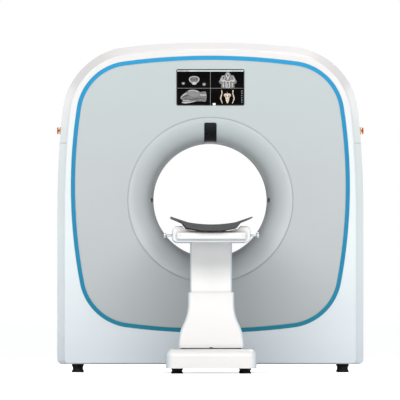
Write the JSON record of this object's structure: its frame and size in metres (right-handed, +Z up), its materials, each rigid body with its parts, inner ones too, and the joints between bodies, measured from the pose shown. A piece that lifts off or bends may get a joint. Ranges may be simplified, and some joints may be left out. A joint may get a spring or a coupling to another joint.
{
  "type": "veterinary ct scanner",
  "caption": "Ring-shaped CT gantry on feet with a round bore, front display and side stop buttons, and a lifting patient couch whose cradle slides into the bore.",
  "frame": {"origin": "on the floor, under the middle of the whole footprint", "axes": "+Z up, +Y from the couch towards the gantry, +X to the right seen from the couch end"},
  "size_m": [1.5344, 2.4, 1.65],
  "materials": {
    "white_cover": "smooth satin white moulding",
    "white_metal": "satin white powder coat",
    "white_cast": "white painted aluminium",
    "grey_panel": "satin silver grey",
    "blue_trim": "gloss blue",
    "clear_liner": "translucent white polycarbonate",
    "dark_window": "smoked gloss",
    "black_case": "fine matt black",
    "display_pane": "glass over a lit screen",
    "steel": "ground steel",
    "knob_metal": "bright plated",
    "frame_paint": "grey frame paint",
    "case_paint": "light grey paint",
    "alloy": "machined aluminium",
    "iron": "bare cast iron",
    "slip_resin": "moulded resin with brass tracks",
    "belt_rubber": "ribbed rubber",
    "foot_rubber": "black rubber",
    "carbon": "carbon fibre weave under satin lacquer",
    "yellow_collar": "gloss yellow",
    "red_button": "gloss red"
  },
  "bodies": {
    "gantry": {"front_cover": "white_cover", "front_panel": "grey_panel", "trim_band": "blue_trim", "bore_ring_front": "grey_panel", "bore_ring_rear": "grey_panel", "bore_liner": "clear_liner", "sensor_window": "dark_window", "laser_windows": "dark_window", "display_housing": "black_case", "display_glass": "display_pane", "side_cover_left": "white_cover", "side_cover_right": "white_cover", "top_cover": "white_cover", "rear_cover": "white_cover", "rear_screws": "steel", "mains_inlet": "black_case", "fan_frames": "black_case", "stop_bases": "yellow_collar", "base_frame": "frame_paint", "gantry_stand": "frame_paint", "bearing_outer": "steel", "brush_block": "black_case", "drive_belt": "belt_rubber", "drive_motor": "frame_paint", "control_computer": "case_paint", "power_unit": "case_paint", "gantry_feet": "foot_rubber", "couch_feet": "foot_rubber", "couch_frame": "frame_paint", "couch_base_cover": "white_cover", "docking_bar": "frame_paint", "lower_column": "white_cast", "lift_screw_tube": "steel"},
    "rotor": {"rotor_disc": "alloy", "bearing_inner": "steel", "rotor_pulley": "alloy", "xray_tube": "alloy", "collimator": "frame_paint", "detector_arc": "alloy", "hv_generator": "case_paint", "tube_cooler": "alloy", "counterweights": "iron", "slip_ring": "slip_resin"},
    "motor_shaft": {"motor_pulley": "steel"},
    "fan_right": {"fan_rotor_right": "black_case"},
    "fan_left": {"fan_rotor_left": "black_case"},
    "stop_right": {"stop_button_right": "red_button"},
    "stop_left": {"stop_button_left": "red_button"},
    "couch_lift": {"upper_column": "white_metal", "lift_rod": "steel", "head_housing": "white_cast", "head_cap_front": "white_cover", "head_cap_rear": "white_cover", "end_pad": "white_cover", "guide_rails": "steel"},
    "cradle_slider": {"cradle": "carbon", "carriage": "alloy"},
    "knob_right": {"release_knob_right": "knob_metal"},
    "knob_left": {"release_knob_left": "knob_metal"}
  },
  "joints": [
    {"name": "rotor_spin", "type": "hinge", "parent": "gantry", "child": "rotor", "pos_m": [0, 0.84, 0.862], "axis": [0, 1, 0], "continuous": true},
    {"name": "motor_spin", "type": "hinge", "parent": "gantry", "child": "motor_shaft", "pos_m": [0.5, 0.94, 0.23], "axis": [0, 1, 0], "continuous": true},
    {"name": "fan_right_spin", "type": "hinge", "parent": "gantry", "child": "fan_right", "pos_m": [0.5, 1.17, 1.3], "axis": [0, 1, 0], "continuous": true},
    {"name": "fan_left_spin", "type": "hinge", "parent": "gantry", "child": "fan_left", "pos_m": [-0.5, 1.17, 1.3], "axis": [0, 1, 0], "continuous": true},
    {"name": "stop_right_push", "type": "slide", "parent": "gantry", "child": "stop_right", "axis": [-1, 0, 0], "range_m": [0, 0.004], "stiffness_N_per_m": 2500},
    {"name": "stop_left_push", "type": "slide", "parent": "gantry", "child": "stop_left", "axis": [1, 0, 0], "range_m": [0, 0.004], "stiffness_N_per_m": 2500},
    {"name": "couch_lift", "type": "slide", "parent": "gantry", "child": "couch_lift", "axis": [0, 0, 1], "range_m": [-0.1, 0.08]},
    {"name": "cradle_slide", "type": "slide", "parent": "couch_lift", "child": "cradle_slider", "axis": [0, 1, 0], "range_m": [0, 0.9]},
    {"name": "knob_right_pull", "type": "slide", "parent": "couch_lift", "child": "knob_right", "axis": [1, 0, 0], "range_m": [0, 0.01], "stiffness_N_per_m": 1500},
    {"name": "knob_left_pull", "type": "slide", "parent": "couch_lift", "child": "knob_left", "axis": [-1, 0, 0], "range_m": [0, 0.01], "stiffness_N_per_m": 1500}
  ],
  "couplings": [
    {"joint": "motor_spin", "follows": "rotor_spin", "ratio": 10}
  ]
}
